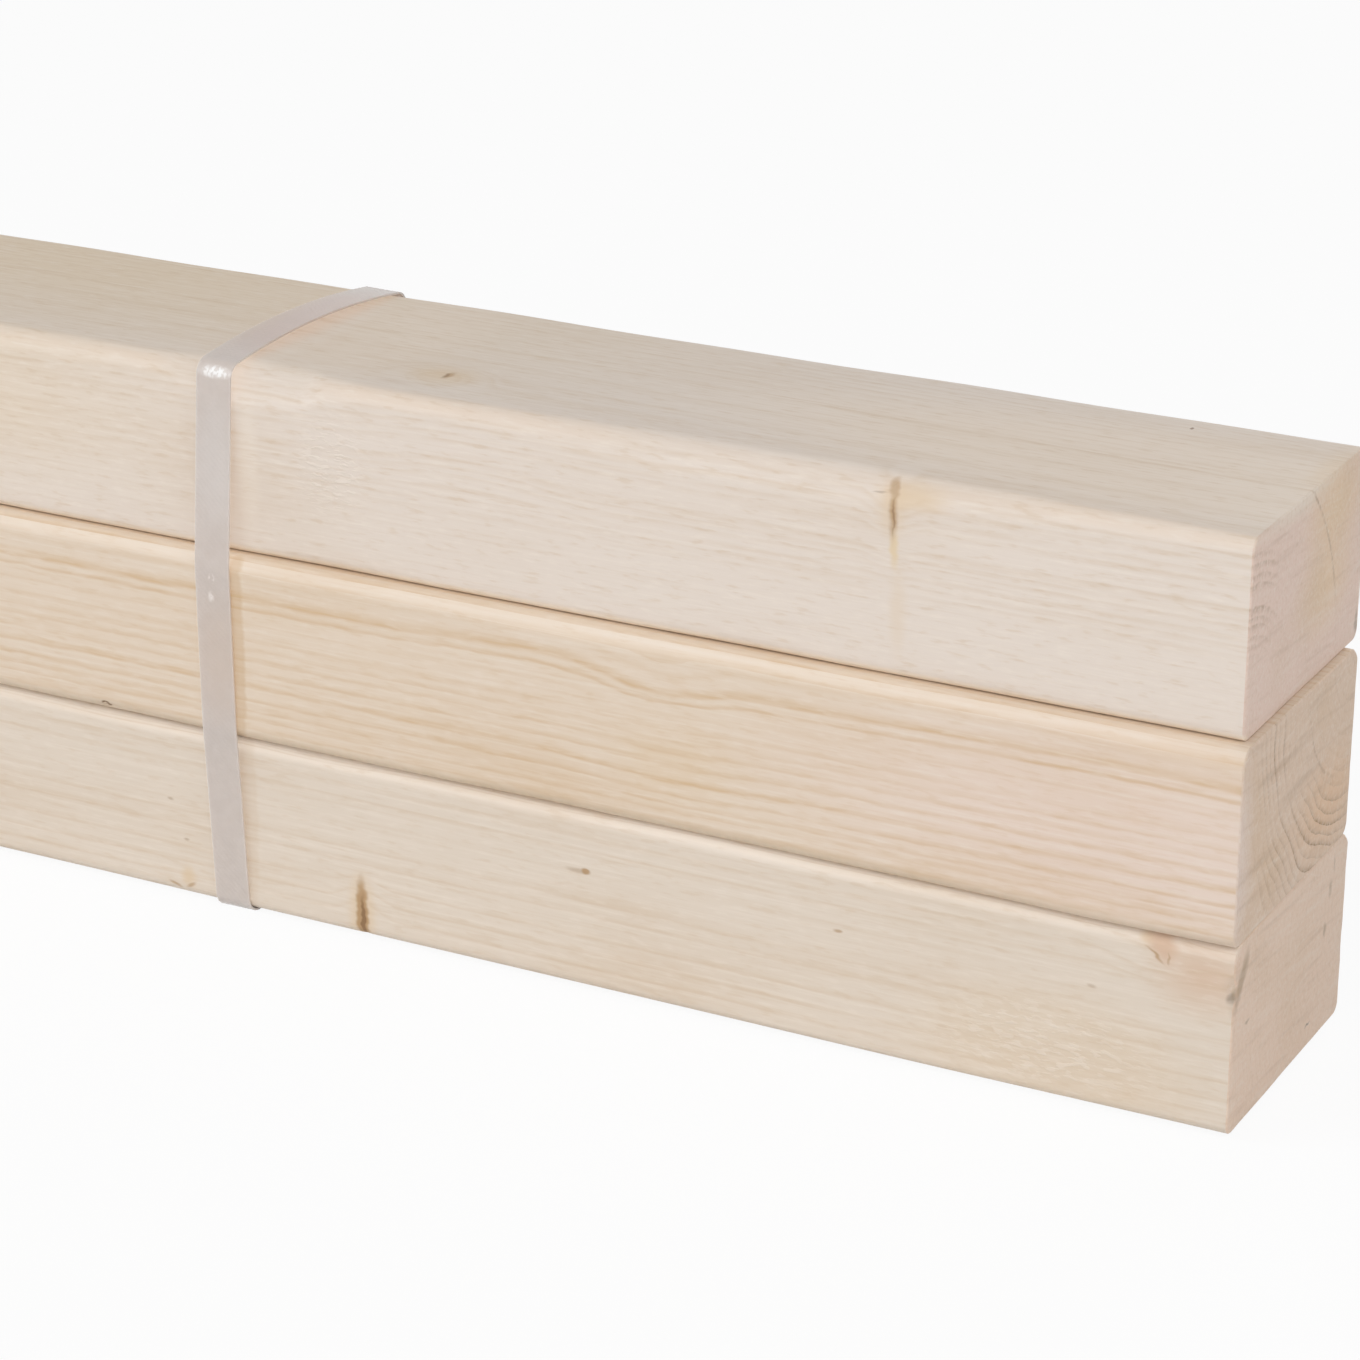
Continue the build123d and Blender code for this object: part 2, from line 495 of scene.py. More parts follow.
def pith_offsets(batten, place):
    """How far a place lies across from the pith and above it, and its distance, as the rings bend."""
    x, y, z = coordinates(place)
    pith_y, pith_z = batten.pith
    drift = cloudy(place, DRIFT) - NOISE_MIDDLE
    waver = cloudy(place, Noise((batten.waver_length, WAVER_HEIGHT, WAVER_HEIGHT))) - NOISE_MIDDLE
    across = y - pith_y - x * batten.tilt
    upward = z - pith_z + drift * DRIFT_REACH + waver * batten.waver
    radius = calculate("SQRT", across * across + upward * upward)
    for swerve in batten.swerves:
        radius = radius + inside(place, swerve.centre, swerve.half_size, 1, swerve.shift)
    return across, upward, radius


def ring_lines(batten, radius):
    """How dark the drawn rings are at a distance from the pith, and whether they cover that distance."""
    low, high = measured_box(batten.node)
    pith_y, pith_z = batten.pith

    def from_pith(height):
        return hypot(low[1] - pith_y, height - pith_z)

    found = []
    for ring in batten.rings:
        outward = 1 if ring.height > pith_z else -1
        start = ring.height - outward * ring.width
        end = ring.height + outward * ring.width * FALL_SHARE
        found.append([(from_pith(start), 0), (from_pith(ring.height), ring.strength), (from_pith(end), 0)])
    found.sort()
    nearest = from_pith(min(max(pith_z, low[2]), high[2]))
    furthest = max([from_pith(low[2]), from_pith(high[2]), found[-1][-1][0]])
    span = furthest - nearest
    lines = 0
    for first in range(0, len(found), RINGS_PER_RAMP):
        ramp = add_node(tree_of(radius), "ShaderNodeValToRGB", {0: (radius - nearest) / span})
        stops = ramp.color_ramp.elements
        stops[0].color, stops[1].color = BLACK, BLACK
        for distance, level in sum(found[first:first + RINGS_PER_RAMP], []):
            stops.new((distance - nearest) / span).color = (level, level, level, 1)
        lines = calculate("MAXIMUM", Field(ramp.outputs[0]), lines)
    drawn = calculate("GREATER_THAN", radius, nearest) * calculate("LESS_THAN", radius, furthest)
    return lines, drawn


def late_wood(batten, place, radius):
    """How dark the late wood is: in the drawn rings, and in plain ones where none are drawn."""
    lines, drawn = ring_lines(batten, radius)
    season = radius / batten.ring_width + cloudy(place, SEASON) * SEASON_SHIFT
    count = calculate("FLOOR", season)
    chance = add_node(tree_of(radius), "ShaderNodeTexWhiteNoise", {"W": count}, noise_dimensions="1D")
    darkness = Field(chance.outputs[0]) * CHANCE_SHARE + (1 - CHANCE_SHARE)
    plain_lines = (season - count) ** SHARPNESS * darkness * (1 - drawn)
    return calculate("MAXIMUM", lines, plain_lines)


def streaked(base, tone, noise, streak, share=1):
    return tinted(base, tone, smooth(noise, streak.start, streak.end, streak.strength * share))


def marked(base, mark, place):
    return tinted(base, mark.tone, inside(place, mark.centre, mark.half_size, mark.edge, mark.strength))


def reaches(mark, batten, sawn):
    """Whether a mark comes near the batten's planed sides, or its sawn right end."""
    low, high = measured_box(batten.node)
    x, y, z = (half + RAGGEDNESS for half in mark.half_size)
    if sawn:
        return mark.centre[0] + x > high[0]
    near_y = min(mark.centre[1] - low[1], high[1] - mark.centre[1]) < y
    near_z = min(mark.centre[2] - low[2], high[2] - mark.centre[2]) < z
    return near_y or near_z


def with_marks(tone, batten, place, sawn):
    """The wood's colour with its knots, stains and chips, which have ragged edges."""
    uneven = on_vector("SUBTRACT", cloudy(place, RAGGED, output=1), [NOISE_MIDDLE] * 3)
    ragged = on_vector("MULTIPLY_ADD", uneven, [RAGGEDNESS] * 3, place)
    x, y, z = coordinates(ragged)
    for mark in batten.marks:
        if not reaches(mark, batten, sawn):
            continue
        where = ragged
        if any(mark.lean):
            rise = (x - mark.centre[0]) * mark.lean[0] + (y - mark.centre[1]) * mark.lean[1]
            where = combined(x, y, z - rise)
        tone = marked(tone, mark, where)
    return tone


def with_end_lines(tone, batten, place, radius, line_share, broken):
    """A sawn end's colour with its rings, where they show, and with its cracks along them."""
    far_end = smooth(coordinates(place)[0], -SHOWN_LENGTH, -2 * SHOWN_LENGTH, FAR_END_LINES)
    clear = calculate("MAXIMUM", far_end, LEAST_END_LINES)
    for shown in batten.end_lines:
        here = inside(place, shown.centre, shown.half_size, 1, shown.strength)
        clear = calculate("MAXIMUM", here, clear)
    tone = tinted(tone, END_LINE, line_share * clear * END_LINE_GAIN)
    for shake in batten.shakes:
        crack = smooth(calculate("ABSOLUTE", radius - shake.radius), SHAKE_HALF_WIDTH, 0)
        crack = crack * inside(place, shake.centre, shake.half_size, SHAKE_EDGE, shake.strength)
        crack = crack * (broken * BREAK_SHARE + (1 - BREAK_SHARE))
        tone = tinted(tone, END_LINE, crack)
    return tone


def with_strokes(tone, place, across, upward, radius):
    """A sawn end's colour with the saw's strokes and the rays from the pith, and the strokes' height."""
    x, y, z = coordinates(place)
    stroke_y = y * cos(SAW_ANGLE) + z * sin(SAW_ANGLE)
    stroke_z = z * cos(SAW_ANGLE) - y * sin(SAW_ANGLE)
    strokes = cloudy(combined(stroke_y, stroke_z, x), SAW)
    rays = cloudy(combined(calculate("ARCTAN2", upward, across), radius, x), RAYS)
    tone = streaked(tone, END_LINE, strokes, DARK_STROKES)
    tone = streaked(tone, FLECK_AND_PAINTED_LIGHT, strokes, PALE_STROKES)
    tone = streaked(tone, FLECK_AND_PAINTED_LIGHT, rays, PALE_RAYS)
    return tone, strokes


def wood(batten, sawn):
    """Planed wood, or sawn end grain, of one batten."""
    material, place = new_material(batten.node + ("_end_grain" if sawn else "_planed"))
    across, upward, radius = pith_offsets(batten, place)
    fibre, feather, blotch = (cloudy(place, noise) for noise in (FIBRE, FEATHER, BLOTCH))
    broken = smooth(cloudy(place, BREAKS), BROKEN_FROM, BROKEN_TO)
    unbroken_share = 1 - (1 - broken) * (BREAK_SHARE * batten.feathering)
    line_share = late_wood(batten, place, radius) * unbroken_share * batten.line_strength
    for torn in batten.torn:
        lost = inside(place, torn.centre, torn.half_size, TORN_EDGE, TORN_LINE_LOSS)
        line_share = line_share * (1 - lost)
    tone = batten.end_tone if sawn else batten.early
    for tint in batten.tints:
        if reaches(tint, batten, sawn):
            tone = marked(tone, tint, place)
    if sawn:
        tone = with_end_lines(tone, batten, place, radius, line_share, broken)
    else:
        tone = tinted(tone, batten.late, line_share)
    tone = streaked(tone, batten.late, blotch, BLOTCHES)
    tone = streaked(tone, batten.late, fibre, DARK_FIBRES)
    tone = streaked(tone, FLECK_AND_PAINTED_LIGHT, fibre, PALE_FIBRES)
    tone = streaked(tone, batten.late, feather, DARK_FEATHERS, batten.feathering)
    tone = streaked(tone, FLECK_AND_PAINTED_LIGHT, feather, PALE_FEATHERS, batten.feathering)
    relief = fibre * FIBRE_RELIEF + feather * batten.feathering
    for torn in batten.torn:
        shreds = smooth(cloudy(place, SHREDS), SHREDS_FROM, SHREDS_TO)
        shreds = shreds * inside(place, torn.centre, torn.half_size, TORN_EDGE)
        tone = tinted(tone, FLECK_AND_PAINTED_LIGHT, shreds * torn.strength)
        relief = relief + shreds * (SHRED_RELIEF * torn.strength)
    tone = with_marks(tone, batten, place, sawn)
    if sawn:
        tone, strokes = with_strokes(tone, place, across, upward, radius)
        relief = relief + strokes
    settings = {"Base Color": tone, "Roughness": WOOD_ROUGHNESS, "Specular IOR Level": WOOD_SHINE}
    settings["Normal"] = bumped(relief, RELIEF_DEPTH)
    return finish_surface(material, add_node(material.node_tree, "ShaderNodeBsdfPrincipled", settings))


# Unevenness, the same on every run
SEED_STEP = 100
WAVE_COUNT = 9
CLOSENESS_POWER = 1.5


def waves(seed, length, *places):
    """Smooth unevenness between about -1 and 1 at the given places, with bumps about a length apart."""
    chance = np.random.default_rng(seed)
    total = 0
    for _ in range(WAVE_COUNT):
        headings = chance.normal(size=len(places))
        turn = sum(heading * place for heading, place in zip(headings, places)) * pi / length
        total = total + np.sin(turn + chance.uniform(0, 2 * pi))
    return total / sqrt(WAVE_COUNT)


def eased(places, points):
    """A curve through (place, value) points, flat at each of them."""
    marks, values = zip(*points)
    step = np.interp(places, marks, range(len(marks)))
    whole = np.floor(step)
    share = step - whole
    return np.interp(whole + share**2 * (3 - 2 * share), range(len(marks)), values)


def closeness(places, centre, half_size):
    """1 at an ellipsoid's middle, falling softly to 0 at its surface and beyond."""
    reach = sum(((p - c) / h) ** 2 for p, c, h in zip(places, centre, half_size))
    return np.clip(1 - reach, 0, 1) ** CLOSENESS_POWER


# Batten meshes: fine steps over the length that the photograph shows, and wider ones beyond it
SHOWN_LENGTH = 345
SHOWN_STEP = 1.4
PLAIN_STEP = 12
FACE_STEPS = {"top": 30, "back": 12, "bottom": 14, "front": 30}
ARC_STEPS = 7
END_EASE = 0.35
CAP_RINGS = 20
ARRIS_RADIUS = 3
ARRIS_FLATNESS = 0.5
ARRIS_WOBBLE = 0.35
ARRIS_WAVE = 60
WANE_WAVE = 25
UNEVEN_DEPTH = 0.05
UNEVEN_WAVE = 30
UNEVEN_STRETCH = 3
UNEVEN_SEED = 7
TORN_DEPTH = 0.5
TORN_WAVE = 2.5
TORN_SEED = 9
SAW_DEPTH = 0.09
SAW_WAVE = 6
SAW_SQUEEZE = 0.3
END_SEED = 20
SHARP_ANGLE = 40

# The top batten's front arris: (place, radius) along it, widest where the log's surface is left on
WANE = [
    (-1800, 3), (-300, 4), (-262, 4), (-254, 6), (-240, 8.5), (-227, 8), (-217, 4.6), (-208, 3.2),
    (-170, 4), (-130, 6.2), (-90, 6), (-60, 4.8), (-36, 3.2), (0, 2.4),
]


def section_rings(low, high, radii):
    """Points round a batten at each station, from the front over the top, and their outward directions."""
    corners = [("front", "top", 180), ("back", "top", 90), ("back", "bottom", 0), ("front", "bottom", -90)]
    faces = list(FACE_STEPS)
    arcs = []
    for side, level, first in corners:
        radius = radii[side, level][:, None]
        angle = np.radians(np.linspace(first, first - 90, ARC_STEPS + 1))[None, :]
        middle_y = low[1] + radius if side == "front" else high[1] - radius
        middle_z = low[2] + radius if level == "bottom" else high[2] - radius
        direction = np.stack(np.broadcast_arrays(np.cos(angle), np.sin(angle), radius)[:2], axis=-1)
        points = np.stack([middle_y, middle_z], axis=-1) + direction * radius[..., None]
        share = np.linspace(0, 1, ARC_STEPS + 1)[:, None]
        chord = points[:, :1] * (1 - share) + points[:, -1:] * share
        flatness = ARRIS_FLATNESS if level == "top" else 0
        arcs.append((points + (chord - points) * flatness, direction))
    places, directions = [], []
    for number, (points, facing_out) in enumerate(arcs):
        steps = FACE_STEPS[faces[number]]
        share = (np.arange(1, steps) / steps)[None, :, None]
        following = arcs[(number + 1) % len(arcs)][0]
        places += [points, points[:, -1:] * (1 - share) + following[:, :1] * share]
        directions += [facing_out, np.repeat(facing_out[:, -1:], steps - 1, axis=1)]
    return np.concatenate(places, axis=1), np.concatenate(directions, axis=1)


def worn_depth(batten, places, seed):
    """How far a batten's sides lie inside its box: slightly uneven, dented, and rough where torn."""
    uneven = waves(seed + UNEVEN_SEED, UNEVEN_WAVE, places[0] / UNEVEN_STRETCH, places[1], places[2])
    depth = UNEVEN_DEPTH * (1 + uneven) / 2
    for dent in batten.dents:
        depth = depth + dent.depth * closeness(places, dent.centre, dent.half_size)
    for torn in batten.torn:
        crumbs = torn.strength * TORN_DEPTH * (1 + waves(seed + TORN_SEED, TORN_WAVE, *places)) / 2
        depth = depth + crumbs * closeness(places, torn.centre, torn.half_size)
    return np.maximum(depth, 0)


def end_rings(rim, middle, face, outward, seed):
    """Rings of points over a sawn end at x = face, from its rim nearly to its middle."""
    rings = []
    for share in np.linspace(1, 0, CAP_RINGS + 1)[:-1]:
        ring = middle + (rim - middle) * share
        sawn = SAW_DEPTH * (1 + waves(seed, SAW_WAVE, ring[:, 0] * SAW_SQUEEZE, ring[:, 1])) / 2
        rings.append(np.column_stack([face - outward * np.maximum(sawn, 0), ring]))
    return rings


def batten_rings(batten, seed):
    """Rings of points from the left end's middle to the right one's, and how many of them an end has."""
    low, high = measured_box(batten.node)
    shown_from = high[0] - SHOWN_LENGTH
    plain = np.arange(low[0] + END_EASE, shown_from, PLAIN_STEP)
    shown = np.linspace(shown_from, high[0] - END_EASE, int(SHOWN_LENGTH / SHOWN_STEP))
    stations = np.append(plain, shown)
    arrises = [(side, level) for side in ("front", "back") for level in ("bottom", "top")]
    radii = {
        arris: ARRIS_RADIUS + ARRIS_WOBBLE * waves(seed + number, ARRIS_WAVE, stations)
        for number, arris in enumerate(arrises)
    }
    if batten is TOP:
        radii["front", "top"] = eased(stations, WANE) + ARRIS_WOBBLE * waves(seed, WANE_WAVE, stations)
    section, direction = section_rings(low, high, radii)
    along = np.broadcast_to(stations[:, None], section.shape[:2])
    places = np.stack([along, section[..., 0], section[..., 1]])
    depth = worn_depth(batten, places, seed)
    places[1] -= direction[..., 0] * depth
    places[2] -= direction[..., 1] * depth
    middle = np.array([(low[1] + high[1]) / 2, (low[2] + high[2]) / 2])
    caps = []
    for end, outward, face in ((0, -1, low[0]), (-1, 1, high[0])):
        rim = places[1:, end].T - direction[end] * END_EASE
        caps.append(end_rings(rim, middle, face, outward, seed + END_SEED + end))
    left, right = caps
    return left[::-1] + list(places.transpose(1, 2, 0)) + right, len(left)


def tube_faces(ring_count, points):
    """Quads between rings of points, and the fans that close both ends with a middle point each."""
    ring, column = np.meshgrid(np.arange(ring_count - 1), np.arange(points), indexing="ij")
    following = (column + 1) % points
    corners = [(ring, column), (ring + 1, column), (ring + 1, following), (ring, following)]
    quads = np.stack([r * points + c for r, c in corners], axis=-1).reshape(-1, 4).tolist()
    first, last = ring_count * points, ring_count * points + 1
    end = (ring_count - 1) * points
    around = range(points)
    left = [[first, j, (j + 1) % points] for j in around]
    right = [[end + j, last, end + (j + 1) % points] for j in around]
    return quads, left, right


def add_piece(name, node, places, faces, layout, materials, face_materials):
    """A mesh piece that stands for a CAD node, with a place in its baked texture for each face corner."""
    mesh = bpy.data.meshes.new(name)
    mesh.from_pydata((np.asarray(places) * MM + np.array(CORNER)).tolist(), [], faces)
    for material in materials:
        mesh.materials.append(material)
    mesh.polygons.foreach_set("material_index", face_materials)
    mesh.uv_layers.new(name="OFBake").data.foreach_set("uv", np.ravel(layout))
    mesh.shade_smooth()
    mesh.set_sharp_from_angle(angle=radians(SHARP_ANGLE))
    piece = bpy.data.objects.new(name, mesh)
    bpy.context.scene.collection.objects.link(piece)
    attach(piece, "root")
    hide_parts(node)
    return piece


# Where a batten's sides and ends lie in its baked texture: left, bottom, width and height
SHOWN_PATCH = (0.004, 0.46, 0.992, 0.53)
PLAIN_PATCH = (0.004, 0.185, 0.992, 0.26)
RIGHT_PATCH = (0.01, 0.01, 0.3, 0.16)
LEFT_PATCH = (0.5, 0.01, 0.3, 0.16)


def in_patch(patch, across, up):
    """Places in a patch of a texture, from shares of its width and height."""
    left, bottom, width, height = patch
    return np.stack(np.broadcast_arrays(left + width * across, bottom + height * up), axis=-1)


def batten_layout(batten, rings, cap_count):
    """Places in the baked texture for the corners of a batten's faces, in the order of tube_faces."""
    low, high = measured_box(batten.node)
    split = high[0] - SHOWN_LENGTH
    rings = np.array(rings)
    points = rings.shape[1]
    x, y, z = np.concatenate([rings, rings[:, :1]], axis=1).transpose(2, 0, 1)
    turn = np.append(0, np.cumsum(np.hypot(np.diff(y[cap_count]), np.diff(z[cap_count]))))
    deep, high_up = (y - low[1]) / (high[1] - low[1]), (z - low[2]) / (high[2] - low[2])
    left_end = in_patch(LEFT_PATCH, deep, high_up)
    right_end = in_patch(RIGHT_PATCH, deep, high_up)
    plain = in_patch(PLAIN_PATCH, (x - low[0]) / (split - low[0]), turn / turn[-1])
    shown = in_patch(SHOWN_PATCH, (x - split) / SHOWN_LENGTH, turn / turn[-1])
    faces = []
    for ring in range(len(rings) - 1):
        side = plain if x[ring, 0] < split - END_EASE else shown
        end = left_end if ring < cap_count else right_end
        places = side if cap_count <= ring < len(rings) - 1 - cap_count else end
        here, there = places[ring], places[ring + 1]
        faces.append(np.stack([here[:-1], there[:-1], there[1:], here[1:]], axis=1))
    left_hub = np.tile(in_patch(LEFT_PATCH, 0.5, 0.5), (points, 1))
    right_hub = np.tile(in_patch(RIGHT_PATCH, 0.5, 0.5), (points, 1))
    faces.append(np.stack([left_hub, left_end[0, :-1], left_end[0, 1:]], axis=1))
    faces.append(np.stack([right_end[-1, :-1], right_hub, right_end[-1, 1:]], axis=1))
    return np.concatenate([corners.reshape(-1, 2) for corners in faces])


def add_batten(batten, seed):
    rings, cap_count = batten_rings(batten, seed)
    points = len(rings[0])
    quads, left, right = tube_faces(len(rings), points)
    middles = [rings[0].mean(axis=0), rings[-1].mean(axis=0)]
    quad_rings = np.repeat(np.arange(len(rings) - 1), points)
    is_end = (quad_rings < cap_count) | (quad_rings >= len(rings) - 1 - cap_count)
    face_materials = np.concatenate([is_end, np.ones(len(left) + len(right))]).astype(int)
    places = np.concatenate([*rings, middles])
    faces = quads + left + right
    materials = [wood(batten, sawn=False), wood(batten, sawn=True)]
    name = batten.node + "_wood"
    layout = batten_layout(batten, rings, cap_count)
    add_piece(name, batten.node, places, faces, layout, materials, face_materials)


# Strap: it bows up over the top, stands a little askew, lifts at one edge and is welded at the back
STRAP_WIDTH = 9
STRAP_GAP = 0.42
STRAP_THICKNESS = 0.45
STRAP_BOW = 2.2
STRAP_LEAN = 0.4
STRAP_SKEW = 2.4
STRAP_LIFT = 0.1
WELD_LENGTH = 32
WELD_FACING = 0.9
WELD_EXTRA_LAYERS = 2
EMBOSS_DEPTH = 0.06
EMBOSS_PITCH = 1.5
ALONG_STEP = 0.36
ACROSS_STEPS = 26
CROWN_STEPS = 16
STEPS_PER_RADIAN = 20
TEXTURE_ROWS = 8
STRAP_DULL = colour(197, 188, 182)
STRAP_BRIGHT = colour(209, 201, 196)
PAINTED_PALE_LIGHT_ON_STRAP = colour(209, 204, 201)
PAINTED_WARM_LIGHT_ON_STRAP = colour(206, 189, 175)
PAINTED_SHADE_ON_STRAP_TOP = colour(199, 181, 172)
PAINTED_SHOW_THROUGH_ON_STRAP = colour(206, 190, 174)
STRAP_SPOT_TONE = colour(236, 230, 227)
# Painted light and shade on the strap: shade on its top run, the wood's colour showing through at that
# run's left edge, warm light from the wood behind it on the middle batten, and paler light on the top
# batten
PAINTED_LIGHT_AND_SHADE_ON_STRAP = [
    Mark(PAINTED_SHADE_ON_STRAP_TOP, 0.8, (-243, 34, 47), (14, 42, 3.6), 0.7),
    Mark(PAINTED_SHOW_THROUGH_ON_STRAP, 0.6, (-249, 34, 46), (4.5, 42, 4), 1),
    Mark(PAINTED_WARM_LIGHT_ON_STRAP, 0.45, (-245, -4, -24), (10, 6, 22), 0.8),
    Mark(PAINTED_PALE_LIGHT_ON_STRAP, 0.6, (-245, -2, 20), (10, 6, 22), 0.8),
]

# White spots, as (centre, half size), and the painted glint where the strap bends over the top arris
WHITE_SPOTS = [((-246, -5, -5.2), (1.3, 4, 1.6)), ((-246.2, -5, -9.6), (1.2, 4, 1.8))]
SPOT_EDGE = 0.9
SPOT_STRENGTH = 0.8
PAINTED_GLINT_CENTRE = (-245.5, -0.5, 42.6)
PAINTED_GLINT_HALF_SIZE = (5.4, 2.6, 1.8)
PAINTED_GLINT_EDGE = 0.7
PAINTED_GLINT_LEAST = 0.35
PAINTED_GLINT_SPECKLE = 0.6

# The plastic: its noises, its finish, and how milky it is
MOTTLE = Noise((3, 3, 3), 3)
GRIT = Noise((0.7, 0.7, 0.7))
GRIT_DEPTH = 0.05
SPECKLE = Noise((0.9, 0.9, 1.4))
SPECKLE_FROM, SPECKLE_TO = 0.42, 0.6
STRAP_ROUGHNESS = 0.24
STRAP_SHINE = 0.5
MILKINESS = 0.7
LIGHT_REACH = 1.2
LIGHT_REACH_BY_COLOUR = (1, 0.96, 0.93)


def hull(points):
    """The corners of the tightest loop around the points, in order around it."""

    def chain(ordered):
        kept = []
        for y, z in ordered:
            while len(kept) > 1:
                (y1, z1), (y2, z2) = kept[-2:]
                if (y2 - y1) * (z - z1) > (z2 - z1) * (y - y1):
                    break
                kept.pop()
            kept.append((y, z))
        return kept[:-1]

    ordered = sorted(points)
    return chain(ordered) + chain(ordered[::-1])


def strap_corners():
    """The middles of the rounds that a strap bends at, in order, with its top run bowed up."""
    middles = []
    for batten in (TOP, MIDDLE, BOTTOM):
        low, high = measured_box(batten.node)
        middles += [
            (round(y, 3), round(z, 3))
            for y in (low[1] + ARRIS_RADIUS, high[1] - ARRIS_RADIUS)
            for z in (low[2] + ARRIS_RADIUS, high[2] - ARRIS_RADIUS)
        ]
    corners = hull(middles)
    top = max(z for y, z in corners)
    back, front = (y for y, z in corners if z == top)
    share = np.linspace(-1, 1, CROWN_STEPS + 1)[1:-1]
    crown_y = (back + front) / 2 + (front - back) / 2 * share
    crown = list(zip(crown_y, top + STRAP_BOW * (1 - share**2)))
    place = corners.index((back, top)) + 1
    return corners[:place] + crown + corners[place:]


def strap_route():
    """Points round a strap's loop: their distances round it, places and outward angles, and its length."""
    corners = np.array(strap_corners())
    edges = np.roll(corners, -1, axis=0) - corners
    headings = np.unwrap(np.arctan2(-edges[:, 0], edges[:, 1]))
    points, angles = [], []
    for corner, before, after in zip(corners, np.roll(headings, 1), headings):
        turn = (after - before) % (2 * pi)
        for share in np.linspace(0, 1, max(2, int(turn * STEPS_PER_RADIAN))):
            angle = before + turn * share
            points.append(corner + ARRIS_RADIUS * np.array([cos(angle), sin(angle)]))
            angles.append(angle)
    points.append(points[0])
    angles.append(angles[0])
    points, angles = np.array(points), np.unwrap(angles)
    run = np.append(0, np.cumsum(np.hypot(*np.diff(points, axis=0).T)))
    count = int(run[-1] / ALONG_STEP)
    at = np.arange(count) * run[-1] / count
    route = np.column_stack([np.interp(at, run, points[:, k]) for k in (0, 1)])
    return at, route, np.interp(at, run, angles), run[-1]


def strap_material():
    """Milky plastic that lets some light through, with a few white spots, painted light and shade, and a
    painted glint.
    """
    material, place = new_material("strap_milky")
    tone = tinted(STRAP_DULL, STRAP_BRIGHT, cloudy(place, MOTTLE))
    for shade in PAINTED_LIGHT_AND_SHADE_ON_STRAP:
        tone = marked(tone, shade, place)
    speckle = smooth(cloudy(place, SPECKLE), SPECKLE_FROM, SPECKLE_TO)
    for centre, half_size in WHITE_SPOTS:
        white_spot = inside(place, centre, half_size, SPOT_EDGE, SPOT_STRENGTH) * speckle
        tone = tinted(tone, STRAP_SPOT_TONE, white_spot)
    # Painted glint: a speckled white patch on the bend over the top arris
    painted_glint = inside(place, PAINTED_GLINT_CENTRE, PAINTED_GLINT_HALF_SIZE, PAINTED_GLINT_EDGE)
    tone = tinted(tone, WHITE, painted_glint * (speckle * PAINTED_GLINT_SPECKLE + PAINTED_GLINT_LEAST))
    settings = {
        "Base Color": tone,
        "Roughness": STRAP_ROUGHNESS,
        "Specular IOR Level": STRAP_SHINE,
        "Normal": bumped(cloudy(place, GRIT), GRIT_DEPTH),
        "Subsurface Weight": MILKINESS,
        "Subsurface Scale": LIGHT_REACH * MM,
        "Subsurface Radius": LIGHT_REACH_BY_COLOUR,
    }
    return finish_surface(material, add_node(material.node_tree, "ShaderNodeBsdfPrincipled", settings))


def strap_layout(row, column, rows, columns):
    """Places in the baked texture for a strap's face corners, with its length laid out in rows."""
    start = row * TEXTURE_ROWS / rows
    texture_row = np.floor(start)
    start, end = start - texture_row, start - texture_row + TEXTURE_ROWS / rows
    lower, upper = ((texture_row + (c + 1) / (columns + 2)) / TEXTURE_ROWS for c in (column, column + 1))
    return np.stack([start, lower, start, upper, end, upper, end, lower], axis=-1)


def add_strap(node, mirrored, material):
    low, high = measured_box(node)
    at, route, angle, total = strap_route()
    across = np.linspace(-STRAP_WIDTH / 2, STRAP_WIDTH / 2, ACROSS_STEPS + 1)
    u, s = np.meshgrid(across, at)
    pitch = total / round(total / EMBOSS_PITCH)
    emboss = EMBOSS_DEPTH * np.abs(np.sin(pi * (s + u) / pitch) * np.sin(pi * (s - u) / pitch))
    lift = STRAP_LIFT * ((STRAP_WIDTH / 2 - u) / STRAP_WIDTH) ** 2
    inner = STRAP_GAP + lift
    direction = np.stack([np.cos(angle), np.sin(angle)], axis=-1)[:, None]
    weld_middle = sum(corner[2] for corner in measured_box(TOP.node)) / 2
    near_weld = np.abs(route[:, 1] - weld_middle) < WELD_LENGTH / 2
    welded = near_weld & (direction[:, 0, 0] > WELD_FACING)
    outer = inner + STRAP_THICKNESS * (1 + WELD_EXTRA_LAYERS * welded[:, None]) + emboss
    middle_x = (low[0] + high[0]) / 2
    middle_y, middle_z = (low[1] + high[1]) / 2, (low[2] + high[2]) / 2
    sign = -1 if mirrored else 1

    def surface(height, columns):
        flat = route[:, None] + direction * height[:, columns, None]
        lean = tan(radians(STRAP_SKEW)) * (flat[..., 0] - middle_y)
        lean = lean - tan(radians(STRAP_LEAN)) * (flat[..., 1] - middle_z)
        x = middle_x + sign * (u[:, columns] + lean)
        return np.concatenate([x[..., None], flat], axis=-1)

    outside = surface(outer, slice(None))
    inside_edges = surface(inner, [-1, 0])
    loop = np.concatenate([outside, inside_edges], axis=1)
    if mirrored:
        loop = loop[:, ::-1]
    columns = loop.shape[1]
    row, column = np.meshgrid(np.arange(len(at)), np.arange(columns), indexing="ij")
    next_row, next_column = (row + 1) % len(at), (column + 1) % columns
    corners = [(row, column), (row, next_column), (next_row, next_column), (next_row, column)]
    quads = np.stack([r * columns + c for r, c in corners], axis=-1).reshape(-1, 4)
    layout = strap_layout(row, column, len(at), columns)
    places, whole = loop.reshape(-1, 3), np.zeros(len(quads), int)
    name = node + "_band"
    band = add_piece(name, node, places, quads.tolist(), layout, [material], whole)
    # Thin milky plastic lets the lamps' light through to the wood
    band.visible_shadow = False


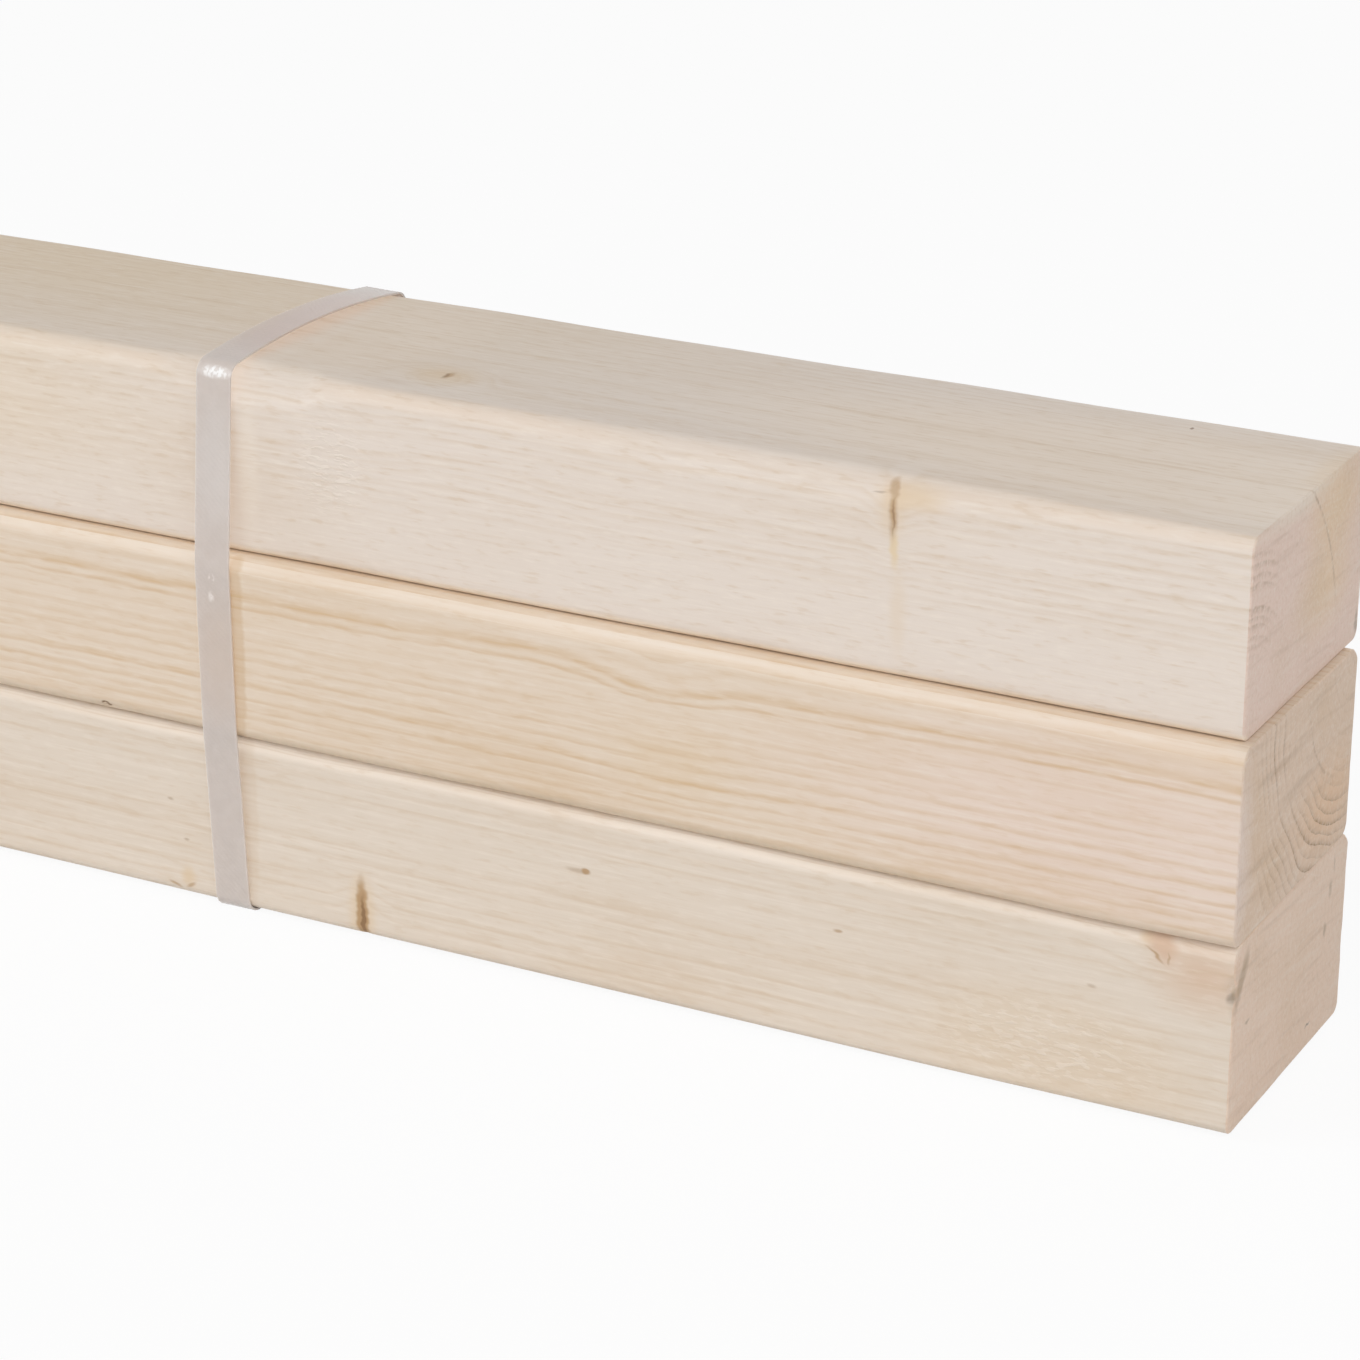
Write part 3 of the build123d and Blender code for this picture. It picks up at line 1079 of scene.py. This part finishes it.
# Studio: area lamps, and a floor and surroundings that look white but light the bundle less
LAMP_AIM = Vector((-150, 0, 0))
AMBIENT = 0.25
FLOOR_SIZE = 12000
FLOOR_TONE = colour(244, 244, 244)
FLOOR_GLOW = 0.92


def add_lamp(name, azimuth, elevation, distance, size, power):
    data = bpy.data.lights.new(name, "AREA")
    data.size = size * MM
    data.energy = power
    lamp = bpy.data.objects.new(name, data)
    back = facing(azimuth, elevation)
    aim = CORNER + LAMP_AIM * MM
    lamp.matrix_world = Matrix.Translation(aim + back * distance * MM) @ turned_to(back)
    bpy.context.scene.collection.objects.link(lamp)


def seen_directly(tree):
    """1 for what the camera sees directly or in a reflection, and 0 for what only lights the bundle."""
    path = add_node(tree, "ShaderNodeLightPath")
    rays = [Field(path.outputs[f"Is {kind} Ray"]) for kind in ("Camera", "Glossy", "Transmission")]
    return calculate("MAXIMUM", calculate("MAXIMUM", rays[0], rays[1]), rays[2])


def add_world():
    world = bpy.data.worlds.new("studio")
    bpy.context.scene.world = world
    world.use_nodes = True
    tree = world.node_tree
    tree.nodes.clear()
    strength = seen_directly(tree) * (1 - AMBIENT) + AMBIENT
    sky = add_node(tree, "ShaderNodeBackground", {"Color": WHITE, "Strength": strength})
    output = add_node(tree, "ShaderNodeOutputWorld")
    tree.links.new(sky.outputs[0], output.inputs[0])


def add_floor():
    """A white floor that keeps the bundle's shadow."""
    half = FLOOR_SIZE * MM / 2
    mesh = bpy.data.meshes.new("floor")
    corners = [(-half, -half, 0), (half, -half, 0), (half, half, 0), (-half, half, 0)]
    mesh.from_pydata(corners, [], [(0, 1, 2, 3)])
    material = bpy.data.materials.new("floor")
    material.use_nodes = True
    tree = material.node_tree
    tree.nodes.clear()
    matt = add_node(tree, "ShaderNodeBsdfDiffuse", {"Color": FLOOR_TONE})
    glow = add_node(tree, "ShaderNodeEmission", {"Color": WHITE, "Strength": 1})
    mixed = add_node(tree, "ShaderNodeMixShader", {0: seen_directly(tree) * FLOOR_GLOW})
    tree.links.new(matt.outputs[0], mixed.inputs[1])
    tree.links.new(glow.outputs[0], mixed.inputs[2])
    mesh.materials.append(finish_surface(material, mixed))
    floor = bpy.data.objects.new("floor", mesh)
    bpy.context.scene.collection.objects.link(floor)


bpy.context.scene.view_settings.view_transform = "Standard"
add_camera()
add_world()
add_floor()
add_lamp("main", azimuth=30, elevation=33, distance=2200, size=1200, power=16.9)
add_lamp("left", azimuth=-62, elevation=22, distance=3000, size=1000, power=32)
add_lamp("glint", azimuth=-38, elevation=55, distance=1700, size=350, power=2.85)
add_lamp("side", azimuth=75, elevation=21, distance=2200, size=1200, power=7.2)
add_lamp("back", azimuth=180, elevation=9, distance=3000, size=800, power=26)

for number, batten in enumerate((TOP, MIDDLE, BOTTOM)):
    add_batten(batten, seed=SEED_STEP * number)

milky = strap_material()
add_strap("strap_right", False, milky)
add_strap("strap_left", True, milky)
